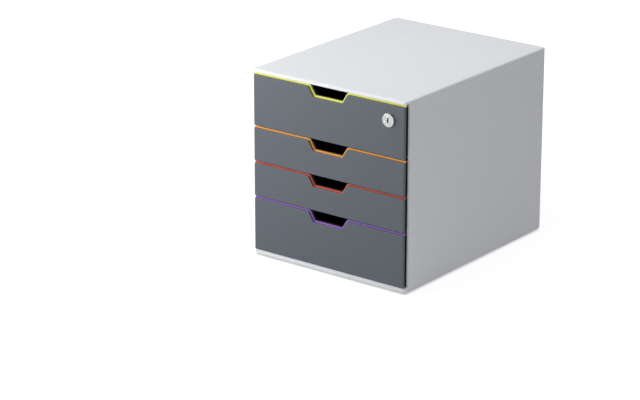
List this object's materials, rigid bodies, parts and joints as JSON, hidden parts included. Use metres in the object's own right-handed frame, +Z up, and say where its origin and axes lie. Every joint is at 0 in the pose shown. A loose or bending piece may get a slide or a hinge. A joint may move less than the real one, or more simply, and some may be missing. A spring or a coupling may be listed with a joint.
{
  "type": "desktop file drawer box",
  "caption": "Desktop drawer box with a light housing and stacked dark drawers for files, each with a coloured edge and a finger notch; the top drawer locks.",
  "frame": {"origin": "on the ground, under the middle of the housing's footprint", "axes": "+Z up, the drawer fronts face -Y, and +X is to the right of someone who faces the fronts"},
  "size_m": [0.28, 0.3595, 0.292],
  "materials": {
    "housing": "light grey moulded ABS, fine matt texture",
    "runner": "light grey moulded polystyrene, smooth",
    "front": "dark grey moulded ABS, satin",
    "tray": "charcoal moulded polystyrene, matt",
    "edge_yellow": "yellow-green moulded ABS, satin",
    "edge_orange": "orange moulded ABS, satin",
    "edge_red": "red moulded ABS, satin",
    "edge_violet": "violet moulded ABS, satin",
    "foot_rubber": "black rubber, matt",
    "screw_steel": "zinc-plated steel",
    "lock_chrome": "nickel-plated zinc casting, bright",
    "lock_steel": "zinc-plated steel"
  },
  "bodies": {
    "housing": {"housing_shell": "housing", "lock_strike": "lock_steel", "back_panel": "housing", "back_panel_screws": "screw_steel", "runner_left": "runner", "runner_right": "runner", "foot_front_left": "foot_rubber", "foot_front_right": "foot_rubber", "foot_rear_left": "foot_rubber", "foot_rear_right": "foot_rubber"},
    "drawer_1": {"drawer_1_tray": "tray", "drawer_1_front": "front", "drawer_1_edge_strip": "edge_yellow", "drawer_1_screws": "screw_steel", "lock_barrel": "lock_chrome", "lock_nut": "lock_steel"},
    "drawer_2": {"drawer_2_tray": "tray", "drawer_2_front": "front", "drawer_2_edge_strip": "edge_orange", "drawer_2_screws": "screw_steel"},
    "drawer_3": {"drawer_3_tray": "tray", "drawer_3_front": "front", "drawer_3_edge_strip": "edge_red", "drawer_3_screws": "screw_steel"},
    "drawer_4": {"drawer_4_tray": "tray", "drawer_4_front": "front", "drawer_4_edge_strip": "edge_violet", "drawer_4_screws": "screw_steel"},
    "lock": {"lock_plug": "lock_chrome", "lock_cam": "lock_steel", "lock_cam_screw": "screw_steel"}
  },
  "joints": [
    {"name": "drawer_1_slide", "type": "slide", "parent": "housing", "child": "drawer_1", "axis": [0, -1, 0], "range_m": [0, 0.256]},
    {"name": "drawer_2_slide", "type": "slide", "parent": "housing", "child": "drawer_2", "axis": [0, -1, 0], "range_m": [0, 0.256]},
    {"name": "drawer_3_slide", "type": "slide", "parent": "housing", "child": "drawer_3", "axis": [0, -1, 0], "range_m": [0, 0.256]},
    {"name": "drawer_4_slide", "type": "slide", "parent": "housing", "child": "drawer_4", "axis": [0, -1, 0], "range_m": [0, 0.256]},
    {"name": "lock_turn", "type": "hinge", "parent": "drawer_1", "child": "lock", "pos_m": [0.1103, -0.1815, 0.2606], "axis": [0, 1, 0], "range_deg": [0, 90]}
  ]
}
